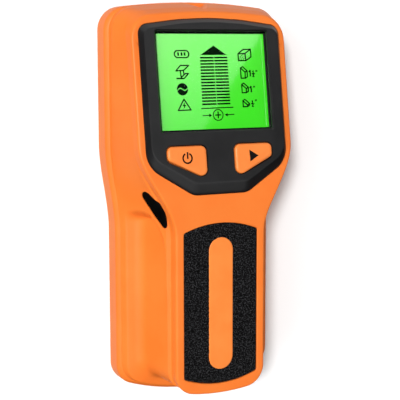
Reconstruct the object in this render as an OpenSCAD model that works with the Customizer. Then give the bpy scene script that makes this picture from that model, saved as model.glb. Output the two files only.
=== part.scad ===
// Hand-held wall scanner: a display head on a waisted handle, lying on its flat back.
// The display faces +Z and the head end points to +Y. Sizes are in millimetres.

/* [Body] */
// Length from the foot of the handle to the head end
body_l = 167.6; // [162:0.2:176]
// Width across the back of the head
head_w = 80.8; // [80:0.2:84]
// Width across the back of the handle
handle_w = 72.8; // [72:0.2:76]
// Height of the handle's front face above the back
front_h = 36; // [35.6:0.1:38]
// Distance from the bezel to the head end
head_end = 6; // [5.8:0.1:8]
// Angle by which the head's front falls towards the head end
head_tilt = 8.65; // [8:0.05:9]
// Height of the rear shell, up to the parting line
rear_h = 10.6; // [10:0.1:11.2]
// Wall of both shells
wall = 2.4; // [2:0.1:2.6]
// Floor of the rear shell
floor_t = 2.2; // [1.8:0.1:2.4]
// Width across the front face of the head
face_head_w = 70.4; // [70:0.1:72]
// Width across the front face of the handle
face_handle_w = 41.4; // [40.6:0.1:43]
// Width between the two finger ledges, at their deepest line
waist_w = 54.4; // [53.6:0.1:56]

/* [Display] */
// Width across the bezel
bezel_w = 64.4; // [64:0.1:64.8]
// Width of the bezel's rim above the window
bezel_top = 3.7; // [3.4:0.1:4.4]
// Distance from the bend to the bezel's lower edge
bezel_start = 1.8; // [1.7:0.1:2.2]
// Rise of the bezel's face above the shell
bezel_rise = 2.2; // [1.8:0.1:2.6]
// Width of the lit part of the display
screen_w = 49.2; // [46:0.1:49.8]
// Length of the lit part of the display
screen_l = 39.1; // [38.6:0.1:40.4]
// Distance from the bend to the lower edge of the lit part
screen_start = 28.7; // [28.4:0.1:29.2]

/* [Buttons] */
// Width of each button
button_w = 17.3; // [16:0.1:17.8]
// Distance from the middle line to the inner edge of each button
button_inner = 6.6; // [6:0.1:7]
// Distance from the bend to the upper edge of both buttons
button_top = 21.8; // [21.4:0.1:22]
// Rise of each button above the bezel's face
button_rise = 0.7; // [0.4:0.1:1.2]
// Travel of each button
button_travel = 0.5; // [0.3:0.05:0.6]

/* [Handle trim] */
// Width of the grip pad
pad_w = 34.2; // [32:0.1:36]
// Distance from the pad's upper edge to the bend
pad_end = 10.3; // [9.4:0.1:16]
// Distance from the foot of the handle to the pad's lower edge
pad_start = 8.6; // [8:0.1:9.2]
// Thickness of the grip pad
pad_t = 1; // [0.8:0.1:1.2]
// Width of the label plate
label_w = 11.1; // [9:0.1:13]
// Distance from the label plate to both ends of the pad
label_end = 6.1; // [5:0.1:9]

/* [Battery] */
// Width of the battery
battery_w = 26.5; // [26:0.1:26.8]
// Length of the battery's can
battery_l = 48.5; // [48:0.1:49]
// Thickness of the battery
battery_t = 17.5; // [17:0.1:18]

/* [Fasteners] */
// Radius of a case screw's thread
screw_r = 1.25; // [1.1:0.05:1.4]
// Radius of a case screw's head
screw_head_r = 2.6; // [2.4:0.1:2.8]

/* [Hidden] */
$fn = 48;

orange = [0.98, 0.5, 0.2];
black = [0.13, 0.13, 0.14];
fibre_green = [0.1, 0.4, 0.2];
copper = [0.8, 0.45, 0.25];
steel = [0.7, 0.7, 0.72];

seat = 0.15;          // gap round a piece that is fitted and stays
slip = 0.25;          // gap round a piece that moves
over = 1;             // how far a cutting tool reaches past a surface

screen_lip = 0.8;     // dark border between the lit part and the bezel's opening
window_ledge = 2;     // overlap of the window behind the bezel
screen_end = screen_start + screen_l + screen_lip;
bezel_high = screen_end + window_ledge + bezel_top;
head_l = bezel_high + head_end;   // from the bend to the head end

y_top = body_l / 2;
y_foot = -body_l / 2;
y_bend = y_top - head_l;

// ---------- outlines ----------

// Eases from 0 to 1 as t goes from 0 to 1
function ease(t) = let (c = min(1, max(0, t))) c * c * (3 - 2 * c);

// Height of the front at a place along the body
function top_z(y) = front_h - tan(head_tilt) * max(0, y - y_bend);

function unit(v) = v / norm(v);
function reversed(list) = [for (i = [len(list) - 1 : -1 : 0]) list[i]];

// The arc that rounds corner b, between a and c
function corner(a, b, c, r) =
  let (u = unit(a - b), v = unit(c - b), half = acos(u * v) / 2,
       centre = b + unit(u + v) * r / sin(half),
       p = b + u * r / tan(half) - centre, q = b + v * r / tan(half) - centre,
       start = atan2(p.y, p.x), turn = atan2(p.x * q.y - p.y * q.x, p * q))
  [for (i = [0 : arc_steps]) let (a = start + turn * i / arc_steps) centre + r * [cos(a), sin(a)]];
arc_steps = 6;

// A polygon with every corner rounded; each corner is [x, y, radius]
function rounded(c) = let (n = len(c))
  [for (i = [0 : n - 1])
    each corner([c[(i + n - 1) % n].x, c[(i + n - 1) % n].y], [c[i].x, c[i].y],
                [c[(i + 1) % n].x, c[(i + 1) % n].y], c[i].z)];

function mirrored(c) = reversed([for (p = c) [-p.x, p.y, p.z]]);

// An arched end: half width h, crown at 0, arch radius big, corner radius small.
// It runs from the crown to the side as [x, drop below the crown].
function arched_end(h, big, small) =
  let (cx = h - small, cy = sqrt(pow(big - small, 2) - cx * cx), lean = atan2(cy, cx))
  concat(
    [for (i = [0 : arch_steps]) let (a = (90 - lean) * i / arch_steps) [big * sin(a), big * (1 - cos(a))]],
    [for (i = [1 : corner_steps]) let (a = lean * (1 - i / corner_steps))
      [cx + small * cos(a), big - cy - small * sin(a)]]);
arch_steps = 5;
corner_steps = 5;

// ---------- lofted body ----------

// A section through the body at one level is a list:
// [head half width, handle half width, inset at the head end, inset at the foot, height rule, height]
// Height rule 0 is a height above the back, 1 a depth below the front, and 2 a share of the way
// from the finger ledge up to the step beside the front face.
HEAD = 0;
HANDLE = 1;
HEAD_END = 2;
FOOT_END = 3;
RULE = 4;
LEVEL = 5;

head_arch_r = 260;
head_corner_r = 10;
foot_arch_r = 90;
foot_corner_r = 9;
shoulder_low = y_bend - 15.2;
shoulder_high = y_bend + 21.8;

// Places along the side, closer together round the shoulder
side_y = concat([y_top - 20, y_top - 34, y_top - 48],
  [for (y = shoulder_high; y > shoulder_low; y = y - 2.6) y], [shoulder_low, y_foot + 24]);

function half_width(s, y) =
  s[HANDLE] + (s[HEAD] - s[HANDLE]) * ease((y - shoulder_low) / (shoulder_high - shoulder_low));

function half_outline(s) =
  let (foot_half = half_width(s, side_y[len(side_y) - 1]),
       crown = y_top - s[HEAD_END], foot = y_foot + s[FOOT_END])
  concat(
    [for (p = arched_end(s[HEAD], head_arch_r, head_corner_r)) [p.x, crown - p.y]],
    [for (y = side_y) [half_width(s, y), y]],
    reversed([for (p = arched_end(foot_half, foot_arch_r, foot_corner_r)) [p.x, foot + p.y]]));

function section_z(s, y) = s[RULE] == 0 ? s[LEVEL] : s[RULE] == 1 ? top_z(y) - s[LEVEL]
  : ledge_z + s[LEVEL] * (top_z(y) - step_h - step_rise - ledge_z);

function section_points(s) =
  let (right = half_outline(s), n = len(right))
  [for (p = concat(right, [for (i = [n - 2 : -1 : 1]) [-right[i].x, right[i].y]]))
    [p.x, p.y, section_z(s, p.y)]];

// A closed solid through the sections, from the lowest to the highest
module loft(sections) {
  n = len(section_points(sections[0]));
  half = n / 2;
  last = (len(sections) - 1) * n;
  sides = [for (j = [0 : len(sections) - 2]) for (i = [0 : n - 1])
    let (a = j * n + i, b = j * n + (i + 1) % n) each [[a, b, b + n], [a, b + n, a + n]]];
  cap = concat([[0, 1, n - 1]], [for (i = [1 : half - 2]) [i, i + 1, n - i - 1, n - i]],
               [[half - 1, half, half + 1]]);
  polyhedron([for (s = sections) each section_points(s)],
    concat(sides, [for (f = cap) [for (k = f) k + last]], [for (f = cap) reversed(f)]), convexity = 10);
}

notch_half = 6;       // half width of the marking notch at the head end
notch_d = 3.3;        // depth of that notch
back_edge = 1.2;      // bevel round the back
rim_edge = 1.4;       // bevel round the rear shell's upper edge
part_step = 0.3;      // step where the front shell meets the rear shell
head_half = head_w / 2;
handle_half = handle_w / 2;
face_head = face_head_w / 2;
face_handle = face_handle_w / 2;
waist = waist_w / 2;
step_h = 4.4;         // height of the step beside the handle's front face
step_w = 1.9;         // width of that step
step_rise = 0.5;      // fall of the step towards its outer edge
ledge_z = 15.2;       // height of the finger ledge's deepest line
ledge_w = 5.8;        // width of the finger ledge
ledge_rise = 2;       // its rise across that width
ledge_foot = 7.2;     // how far the ledge's deepest line stops short of the foot
ledge_end = 6.3;      // distance from the bend to the finger ledge's upper end
foot_front = 4.7;     // how far the front face stops short of the foot
crown_front = 4.9;    // how far the front face stops short of the head end

rear_sections = [
  [head_half - back_edge, handle_half - back_edge, back_edge, back_edge, 0, 0],
  [head_half, handle_half, 0, 0, 0, back_edge],
  [head_half, handle_half, 0, 0, 0, rear_h - rim_edge],
  [head_half - rim_edge, handle_half - rim_edge, 0.4, rim_edge, 0, rear_h]];

seam_head = head_half - rim_edge - part_step;
seam_handle = handle_half - rim_edge - part_step;

// Half width of the plain sloping side at a height above the back, on the head and on the handle
function head_side(z) = seam_head + (face_head + 0.6 - seam_head) * (z - rear_h) / (front_h - 8 - rear_h);
function handle_side(z) =
  seam_handle + (face_handle + step_w - seam_handle) * (z - rear_h) / (front_h - step_h - rear_h);
// The same half width at a place along the body
function side_x(y, z) = half_width([head_side(z), handle_side(z)], y);
step_low = front_h - step_h - step_rise;
foot_step = foot_front + 0.9;
// A section of the plain side, a share of the way up to the step
function side_section(share, head_end) =
  [head_side(ledge_z + share * (front_h - 13 - ledge_z)), handle_side(ledge_z + share * (step_low - ledge_z)),
    head_end, 2 + share * (foot_step - 2), 2, share];

front_sections = [
  [seam_head, seam_handle, 0.5, rim_edge + part_step, 0, rear_h],
  side_section(0, 0.6),
  side_section(0.4, 1.1),
  side_section(0.8, 1.9),
  [face_head + 0.5, face_handle + step_w, 2.3, foot_step, 1, step_h + step_rise],
  [face_head + 0.4, face_handle + 0.4, 2.5, foot_step - 0.2, 1, step_h],
  [face_head, face_handle, crown_front - 0.7, foot_front - 0.7, 1, 0.7],
  [face_head - 0.7, face_handle - 0.7, crown_front, foot_front, 1, 0]];

// What stays of the handle between the finger ledges
function core_section(half, foot, z) = [half, half, 0, foot, 0, z];
core_top = face_handle + step_w - 0.5;
core_sections = [
  core_section(waist + 2 * ledge_w, ledge_foot - 2 * ledge_w, ledge_z - 2 * ledge_rise),
  core_section(waist, ledge_foot, ledge_z),
  core_section(core_top, foot_step + 0.4, step_low),
  core_section(core_top, foot_step + 0.4, front_h)];

// Both finger ledges, joined round the foot
module finger_ledges() {
  low = ledge_z - 1.8 * ledge_rise;
  end = y_bend - ledge_end;
  difference() {
    translate([-head_half, 0, 0]) rotate([90, 0, 90]) linear_extrude(head_w)
      polygon(rounded([[y_foot - 6, low, 0.5], [end, low, 4], [end + 0.2, ledge_z + 11, 3],
        [end - 13, step_low - 1, 5], [end - 26, step_low - 0.2, 5], [y_foot - 6, step_low - 0.2, 0.5]]));
    loft(core_sections);
  }
}

pocket_d = 1.8;       // depth of the bezel's seat below the front
front_wall = 2;       // wall below the bezel's seat
cavity_sections = [
  [seam_head - wall, waist - wall, notch_d + wall, ledge_foot + wall, 0, rear_h - over],
  [seam_head - wall, waist - wall, notch_d + wall, ledge_foot + wall, 0, ledge_z],
  [face_head - wall + 0.6, face_handle - 0.6, notch_d + wall + 0.2, foot_step + wall, 1, step_h + wall],
  [face_head - wall, face_handle - wall, notch_d + wall + 0.4, foot_step + wall, 1, pocket_d + front_wall]];
rear_cavity_sections = [
  [seam_head - wall, seam_handle - wall, notch_d + wall, 5, 0, floor_t],
  [seam_head - wall, seam_handle - wall, notch_d + wall, 5, 0, rear_h + over]];

// ---------- frame of the inclined front ----------

// Moves children from the bend's own flat frame onto the inclined front
module on_front() {
  translate([0, y_bend, front_h]) rotate([-head_tilt, 0, 0]) children();
}
// The same for one point
function on_front_point(p) = [p.x,
  y_bend + p.y * cos(head_tilt) + p.z * sin(head_tilt),
  front_h - p.y * sin(head_tilt) + p.z * cos(head_tilt)];

// A flat plate with a rounded outline, from height low to height high
module plate(outline, low, high) {
  translate([0, 0, low]) linear_extrude(high - low) polygon(outline);
}

function box_outline(x0, x1, y0, y1, r) = rounded([[x0, y0, r], [x1, y0, r], [x1, y1, r], [x0, y1, r]]);

// ---------- bezel and buttons ----------

bezel_side = 1.6;     // bevel along the sides and the top
bezel_foot = 4.7;     // bevel along the lower edge
bezel_arch = 0.7;     // rise of the arched top in the middle

function bezel_outline(grow) =
  let (h = bezel_w / 2 + grow, low = bezel_start - grow, high = bezel_high + grow)
  rounded([[-h, high - 3, 4.5], [-h + 18, high - bezel_arch, 60], [0, high, 100],
    [h - 18, high - bezel_arch, 60], [h, high - 3, 4.5], [h, low + 12.5, 11], [12.5, low, 8], [-12.5, low, 8],
    [-h, low + 12.5, 11]]);
function bezel_face_outline() =
  let (h = bezel_w / 2 - bezel_side, low = bezel_start + bezel_foot, high = bezel_high - bezel_side - 0.4)
  rounded([[-h, high - 3, 3.6], [-h + 17, high - bezel_arch, 60], [0, high, 100],
    [h - 17, high - bezel_arch, 60], [h, high - 3, 3.6], [h, low + 11.1, 9], [11.9, low, 7], [-11.9, low, 7],
    [-h, low + 11.1, 9]]);

// The right-hand button's outline: a flat top and a slanted foot
button_h_inner = 13.7;
button_h_outer = 5.4;
function button_outline(grow) =
  let (x0 = button_inner - grow, x1 = button_inner + button_w + grow, t = button_top + grow)
  rounded([[x0, t, 2.4 + grow], [x0, t - button_h_inner - 2 * grow, 2.6 + grow],
           [x1, t - button_h_outer - 2 * grow, 2.2 + grow], [x1, t, 2.2 + grow]]);
button_x = button_inner + button_w / 2 + 0.1;
button_y = button_top - 5.2;

window_top = 1;
window_low = -0.9;
window_x = screen_w / 2 + screen_lip + window_ledge;
window_y0 = screen_start - screen_lip - window_ledge;
window_y1 = screen_end + window_ledge;

flange_grow = 1.1;    // width of the collar that keeps a button in
flange_top = 0.5;
flange_low = -0.6;

module display_bezel() {
  color(black) on_front() difference() {
    hull() {
      plate(bezel_outline(0), -pocket_d, 0.2);
      plate(bezel_face_outline(), bezel_rise - 0.1, bezel_rise);
    }
    plate(box_outline(-screen_w / 2 - screen_lip, screen_w / 2 + screen_lip, screen_start - screen_lip,
      screen_end, 0.6), -pocket_d - over, bezel_rise + over);
    plate(box_outline(-window_x - seat, window_x + seat, window_y0 - seat, window_y1 + seat, 1),
      -pocket_d - over, window_top);
    plate(box_outline(-glass_x - seat, glass_x + seat, glass_y0 - seat, glass_y1 + seat, 0.6),
      -pocket_d - over, glass_top + seat);
    for (side = [0, 1]) mirror([side, 0, 0]) {
      plate(button_outline(slip), -pocket_d - over, bezel_rise + over);
      plate(button_outline(flange_grow + slip), -pocket_d - over, flange_top + slip);
    }
  }
}

module display_window() {
  color([0.8, 0.9, 0.85, 0.4]) on_front()
    plate(box_outline(-window_x, window_x, window_y0, window_y1, 0.8), window_low, window_top);
}

// ---------- display stack and main board ----------

glass_t = 2.2;
glass_top = window_low - 0.1;
glass_low = glass_top - glass_t;
board_top = -8.1;
board_t = 1.6;
board_low = board_top - board_t;
glass_x = 26.6;
glass_y0 = screen_start - 3.6;
glass_y1 = screen_start + screen_l + 2;
frame_wall = 1.2;
zebra_y0 = glass_y0 + 0.2;
zebra_d = 2;

module lcd_glass() {
  color([0.45, 0.9, 0.35]) on_front()
    plate(box_outline(-glass_x, glass_x, glass_y0, glass_y1, 0.4), glass_low, glass_top);
}

module lcd_frame() {
  color([0.9, 0.9, 0.88]) on_front() difference() {
    plate(box_outline(-glass_x - frame_wall, glass_x + frame_wall, glass_y0 - frame_wall,
      glass_y1 + frame_wall, 0.8), board_top, glass_low + 1);
    plate(box_outline(-glass_x - 0.1, glass_x + 0.1, glass_y0 - 0.1, glass_y1 + 0.1, 0.4),
      board_top + 1, over);
    plate(box_outline(-glass_x + 2, glass_x - 2, glass_y0, zebra_y0 + zebra_d + 0.2, 0.2),
      board_top - over, over);
    plate(box_outline(-screen_w / 2 + 3, screen_w / 2 - 3, screen_start + 3, screen_start + screen_l - 3,
      0.4), board_top - over, over);
  }
}

module lcd_backlight() {
  color([0.75, 1, 0.7]) on_front()
    plate(box_outline(-glass_x + 0.2, glass_x - 0.2, zebra_y0 + zebra_d + 0.6, glass_y1 - 0.2, 0.4),
      board_top + 1, glass_low);
}

module zebra_strip() {
  color([0.25, 0.25, 0.3]) on_front()
    plate(box_outline(-glass_x + 2.4, glass_x - 2.4, zebra_y0, zebra_y0 + zebra_d, 0.3),
      board_top, glass_low);
}

board_x = 27.4;
board_foot_x = 21.5;  // half width of the board between the lower screw bosses
board_notch = 13;     // where the board widens above those bosses
board_y0 = 3;
post_r = 2;
// Places of the posts that carry the main board, in the front's frame
post_y1 = glass_y1 + frame_wall + 0.4 + post_r;
board_y1 = post_y1 + 1.8;
posts = [[-18.5, 6.4], [18.5, 6.4], [-23.6, post_y1], [23.6, post_y1]];
pilot_r = 0.8;

module main_board() {
  color(fibre_green) on_front() difference() {
    plate(rounded([[-board_foot_x, board_y0, 1], [board_foot_x, board_y0, 1], [board_foot_x, board_notch, 1],
      [board_x, board_notch + 2, 1], [board_x, board_y1, 1], [-board_x, board_y1, 1],
      [-board_x, board_notch + 2, 1], [-board_foot_x, board_notch, 1]]), board_low, board_top);
    for (p = posts) translate([p.x, p.y, board_low - over])
      cylinder(r = pilot_r + 0.3, h = board_t + 2 * over);
  }
}

module board_screws() {
  color(steel) on_front() for (p = posts) translate([p.x, p.y, 0]) {
    translate([0, 0, board_low - 1.2]) cylinder(r = 1.6, h = 1.2);
    translate([0, 0, board_low - 0.1]) cylinder(r = pilot_r, h = board_t + 3.6);
  }
}

chip_w = 12;
chip_y = 46;
chip_t = 1.4;
module controller_chip() {
  color(black) on_front()
    plate(box_outline(-chip_w / 2, chip_w / 2, chip_y - chip_w / 2, chip_y + chip_w / 2, 0.4),
      board_low - chip_t, board_low);
}

capacitor_at = [-17, 30];
capacitor_r = 3.1;
capacitor_h = 6.5;
module storage_capacitor() {
  color([0.2, 0.2, 0.35]) on_front() translate([capacitor_at.x, capacitor_at.y, board_low - capacitor_h])
    cylinder(r = capacitor_r, h = capacitor_h);
}

buzzer_at = [16, 26];
buzzer_r = 6;
buzzer_h = 5;
module buzzer() {
  color(black) on_front() translate([buzzer_at.x, buzzer_at.y, board_low - buzzer_h]) difference() {
    cylinder(r = buzzer_r, h = buzzer_h);
    translate([0, 0, -over]) cylinder(r = 1, h = 1.5 + over);
  }
}

// ---------- buttons and their switches ----------

switch_w = 6;
switch_top = -4.7;
plunger_r = 1.7;
plunger_top = -3.7;
plunger_low = -5.6;
stem_r = 2.3;
stem_gap = 0.1;

module button_cap() {
  plate(button_outline(0), flange_low, bezel_rise + button_rise - 0.5);
  plate(button_outline(-0.5), bezel_rise + button_rise - 0.6, bezel_rise + button_rise);
  plate(button_outline(flange_grow), flange_low, flange_top);
  translate([button_x, button_y, plunger_top + stem_gap])
    cylinder(r = stem_r, h = flange_low - plunger_top - stem_gap + 0.1);
}
module mode_button() {
  color(orange) on_front() button_cap();
}
module power_button() {
  color(orange) on_front() mirror([1, 0, 0]) button_cap();
}

module switch_body() {
  difference() {
    plate(box_outline(button_x - switch_w / 2, button_x + switch_w / 2, button_y - switch_w / 2,
      button_y + switch_w / 2, 0.5), board_top, switch_top);
    translate([button_x, button_y, plunger_low - button_travel - 0.5]) cylinder(r = plunger_r + 0.08, h = 4);
  }
}
module switch_plunger() {
  translate([button_x, button_y, plunger_low]) cylinder(r = plunger_r, h = plunger_top - plunger_low);
}
module mode_switch_body() {
  color(black) on_front() switch_body();
}
module mode_switch_plunger() {
  color([0.9, 0.9, 0.85]) on_front() switch_plunger();
}
module power_switch_body() {
  color(black) on_front() mirror([1, 0, 0]) switch_body();
}
module power_switch_plunger() {
  color([0.9, 0.9, 0.85]) on_front() mirror([1, 0, 0]) switch_plunger();
}

// ---------- grip pad and label plate ----------

pad_sink = 0.25;      // how far the pad lies below the front face
pad_arch_r = 44;
pad_y0 = y_foot + pad_start;
pad_y1 = y_bend - pad_end;
label_y0 = pad_y0 + label_end;
label_y1 = pad_y1 - label_end;
label_t = 0.8;

function pad_outline(grow) =
  let (end = arched_end(pad_w / 2 + grow, pad_arch_r, 1.2 + grow),
       high = [for (p = end) [p.x, pad_y1 + grow - p.y]],
       low = reversed([for (p = end) [p.x, pad_y0 - grow + p.y]]),
       right = concat(high, low))
  concat(right, reversed([for (i = [1 : len(right) - 2]) [-right[i].x, right[i].y]]));

function label_outline(grow) = box_outline(-label_w / 2 - grow, label_w / 2 + grow, label_y0 - grow,
  label_y1 + grow, label_w / 2 + grow - 0.01);

module grip_pad() {
  color(black) difference() {
    plate(pad_outline(-seat), front_h - pad_sink - pad_t, front_h - pad_sink);
    plate(label_outline(0.1), front_h - pad_sink - label_t, front_h + over);
  }
}
module label_plate() {
  color(orange) plate(label_outline(0), front_h - pad_sink - label_t, front_h - pad_sink + 0.1);
}

// ---------- side slots ----------

// The left slot on the shoulder, from its upper end to its lower end: each entry is a place and a radius
function slot_place(up, depth, out) =
  [-side_x(y_bend + up, front_h - depth) - out, y_bend + up, front_h - depth];
slot_points = [[slot_place(1.5, 8.7, 0.4), 1.7], [slot_place(-2.7, 6.7, 0.15), 3.1],
  [slot_place(-5.8, 6.15, 0), 3], [slot_place(-10.6, 5.4, -0.2), 1.3]];
slot_in = [0.8, 0.3, -0.5];
slot_d = 3.4;
slot_sink = 0.4;      // how far the black insert lies below the surface

// A bar along the way into the slot, from a distance out of the surface to a depth in it
module slot_bar(out, depth, grow) {
  way = unit(slot_in);
  hull() for (p = slot_points)
    translate(p[0] - way * out) rotate([0, acos(way.z), atan2(way.y, way.x)])
      cylinder(r = p[1] + grow, h = out + depth, $fn = 32);
}

module side_slot_insert_left() {
  color(black) intersection() {
    slot_bar(6, slot_d, -seat / 2);
    translate(unit(slot_in) * slot_sink) loft(front_sections);
  }
}
module side_slot_insert_right() {
  mirror([1, 0, 0]) side_slot_insert_left();
}

// ---------- shells ----------

module end_notch() {
  plate(rounded([[-notch_half - 6, y_top + 6, 1], [-notch_half - 6, y_top + 0.3, 0.5],
    [-notch_half, y_top + 0.1, 3], [0, y_top - notch_d, 2.2], [notch_half, y_top + 0.1, 3],
    [notch_half + 6, y_top + 0.3, 0.5], [notch_half + 6, y_top + 6, 1]]), rear_h - over, front_h);
}

bay_x = battery_w / 2 + 0.35;
bay_wall = 1.2;
boss_r = 3.4;
handle_boss_r = 3;
boss_top = 3;         // how far a boss stops below the front
handle_boss_top = 5.4;
// Places of the case screws
head_boss_x = glass_x + frame_wall + 0.8 + boss_r;
neck_boss_x = 26.6;
head_bosses = [[-head_boss_x, y_top - 15.5], [head_boss_x, y_top - 15.5],
  [-neck_boss_x, y_bend + 7.8], [neck_boss_x, y_bend + 7.8]];
handle_boss_x = bay_x + bay_wall + slip + handle_boss_r;
handle_bosses = [[-handle_boss_x, y_foot + 17], [handle_boss_x, y_foot + 17]];
bosses = concat(head_bosses, handle_bosses);
screw_head_h = 1.9;
screw_reach = 6;      // thread in the front shell

stem_hole_r = 3;

module front_shell() {
  color(orange) difference() {
    union() {
      difference() {
        loft(front_sections);
        loft(cavity_sections);
      }
      for (p = head_bosses) translate([p.x, p.y, rear_h])
        cylinder(r = boss_r, h = top_z(p.y) - boss_top - rear_h);
      for (p = handle_bosses) translate([p.x, p.y, rear_h])
        cylinder(r = handle_boss_r, h = front_h - handle_boss_top - rear_h);
      on_front() for (p = posts) translate([p.x, p.y, board_top])
        cylinder(r = post_r, h = -board_top - pocket_d - 0.5);
    }
    on_front() {
      plate(bezel_outline(seat), -pocket_d, over * 5);
      plate(box_outline(-glass_x - frame_wall - 0.4, glass_x + frame_wall + 0.4, glass_y0 - frame_wall - 0.4,
        glass_y1 + frame_wall + 0.4, 1), -pocket_d - front_wall - 2 * over, over);
      for (side = [-1, 1]) translate([side * button_x, button_y, -pocket_d - front_wall - 2 * over])
        cylinder(r = stem_hole_r, h = front_wall + 4 * over);
      for (p = posts) translate([p.x, p.y, board_top - over]) cylinder(r = pilot_r, h = 4 + over);
    }
    finger_ledges();
    plate(pad_outline(0), front_h - pad_sink - pad_t, front_h + over);
    end_notch();
    for (p = bosses) translate([p.x, p.y, rear_h - over]) cylinder(r = screw_r, h = screw_reach + 1 + over);
    for (side = [0, 1]) mirror([side, 0, 0]) slot_bar(6, slot_d, 0);
  }
}

// ---------- battery bay, door and battery ----------

// The bay's end wall stays clear of the front shell's arched foot
bay_y0 = y_foot + ledge_foot + wall + foot_arch_r - sqrt(pow(foot_arch_r, 2) - pow(bay_x + bay_wall, 2))
  + slip + bay_wall;
battery_y0 = bay_y0 + 3.6;
battery_z0 = floor_t + 0.2;
battery_y1 = battery_y0 + battery_l;
bay_y1 = battery_y1 + 7.4;
bay_z1 = battery_z0 + battery_t + 0.4;
tab_x = 7;
tab_w = 5;
nose_w = 10;          // width of the door's snap nose

module rear_shell() {
  color(orange) difference() {
    union() {
      difference() {
        loft(rear_sections);
        loft(rear_cavity_sections);
      }
      plate(box_outline(-bay_x - bay_wall, bay_x + bay_wall, bay_y0 - bay_wall, bay_y1 + bay_wall, 1.4),
        floor_t - 0.5, bay_z1 + bay_wall);
      for (p = head_bosses) translate([p.x, p.y, floor_t - 0.5])
        cylinder(r = boss_r, h = rear_h - floor_t + 0.5);
      for (p = handle_bosses) translate([p.x, p.y, floor_t - 0.5])
        cylinder(r = handle_boss_r + 0.2, h = rear_h - floor_t + 0.5);
      for (p = sense_posts) translate([p.x, p.y, floor_t - 0.5]) {
        cylinder(r = 2.2, h = sense_z0 - floor_t + 0.5);
        cylinder(r = stake_r, h = sense_z0 + sense_t + 0.5 - floor_t + 0.5);
      }
    }
    plate(box_outline(-bay_x, bay_x, bay_y0, bay_y1, 0.8), -over, bay_z1);
    for (x = [-tab_x, tab_x]) translate([x - tab_w / 2 - slip, bay_y0 - bay_wall - over, floor_t + 0.02])
      cube([tab_w + 2 * slip, bay_wall + 2 * over, 2.6]);
    translate([-5, bay_y1 - over, battery_z0 + 9]) cube([10, bay_wall + 2 * over, 5]);
    for (p = bosses) translate([p.x, p.y, -over]) {
      cylinder(r = screw_r + 0.25, h = rear_h + 2 * over);
      cylinder(r = screw_head_r + 0.3, h = screw_head_h + 0.3 + over);
    }
  }
}

module case_screws() {
  color(steel) for (p = bosses) translate([p.x, p.y, 0.3]) difference() {
    union() {
      cylinder(r = screw_head_r, h = screw_head_h);
      cylinder(r = screw_r - 0.02, h = rear_h + screw_reach - 0.3);
    }
    for (turn = [0, 90]) rotate([0, 0, turn]) translate([-1.6, -0.35, -over]) cube([3.2, 0.7, over + 0.9]);
  }
}

door_t = 2;
door_low = 0.1;
ridge_w = 12;         // width of the thumb grooves
module battery_door() {
  color(orange) difference() {
    union() {
      plate(box_outline(-bay_x + slip, bay_x - slip, bay_y0 + slip, bay_y1 - slip, 0.6),
        door_low, door_low + door_t);
      for (side = [-1, 1]) translate([side * tab_x - tab_w / 2, 0, 0]) {
        translate([0, bay_y0 + slip, door_low + door_t - 0.1]) cube([tab_w, 1.2, 1.6]);
        translate([0, bay_y0 - 1.6, floor_t + 0.3]) cube([tab_w, 3, 1.1]);
      }
      translate([-nose_w / 2, bay_y1 - 2 * slip - 1.4, door_low + door_t - 0.1]) cube([nose_w, 1.4, 2.2]);
    }
    for (i = [0 : 3]) translate([-ridge_w / 2, bay_y1 - 9 - 2 * i, -over])
      cube([ridge_w, 0.8, over + door_low + 0.4]);
  }
}

module battery_can() {
  color([0.75, 0.75, 0.78]) translate([0, battery_y1, battery_z0]) rotate([90, 0, 0])
    linear_extrude(battery_l) polygon(box_outline(-battery_w / 2, battery_w / 2, 0, battery_t, 1.5));
}

stud_x = 6.35;
stud_small = 2.8;
stud_large = 3.6;
stud_h = 3;
stud_z = battery_z0 + battery_t / 2;
module battery_studs() {
  color(steel) for (side = [-1, 1]) translate([side * stud_x, battery_y1, stud_z]) rotate([-90, 0, 0])
    cylinder(r = side < 0 ? stud_small : stud_large, h = stud_h);
}

snap_y0 = battery_y1 + 0.2;
snap_t = stud_h + 0.8;
snap_w = 24;
snap_h = 11;
module battery_snap() {
  color(black) difference() {
    translate([0, snap_y0 + snap_t, stud_z]) rotate([90, 0, 0])
      linear_extrude(snap_t) polygon(box_outline(-snap_w / 2, snap_w / 2, -snap_h / 2, snap_h / 2, 5));
    for (side = [-1, 1]) translate([side * stud_x, snap_y0 - over, stud_z]) rotate([-90, 0, 0])
      cylinder(r = 0.2 + (side < 0 ? stud_small : stud_large), h = stud_h + over);
  }
}

// A round lead through the points, as one tube of eight sides
function lead_dir(p, i) = unit(p[min(i + 1, len(p) - 1)] - p[max(i - 1, 0)]);
function lead_ring(p, i, r) =
  let (d = lead_dir(p, i), u = [1, 0, 0], v = unit(cross(d, u)), w = cross(v, d))
  [for (k = [0 : 7]) p[i] + r * (cos(45 * k) * w + sin(45 * k) * v)];
module lead(p, r) {
  n = len(p);
  sides = [for (i = [0 : n - 2]) for (k = [0 : 7])
    let (a = 8 * i + k, b = 8 * i + (k + 1) % 8) each [[a, b + 8, b], [a, a + 8, b + 8]]];
  first = [for (k = [0 : 7]) k];
  last = [for (k = [7 : -1 : 0]) 8 * (n - 1) + k];
  polyhedron([for (i = [0 : n - 1]) each lead_ring(p, i, r)], concat(sides, [first, last]));
}

lead_r = 0.7;
lead_x = 2.5;
lead_up = board_y0 + 6;   // where the leads meet the main board
lead_l = 30;              // length of each lead past the bay's wall
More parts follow.
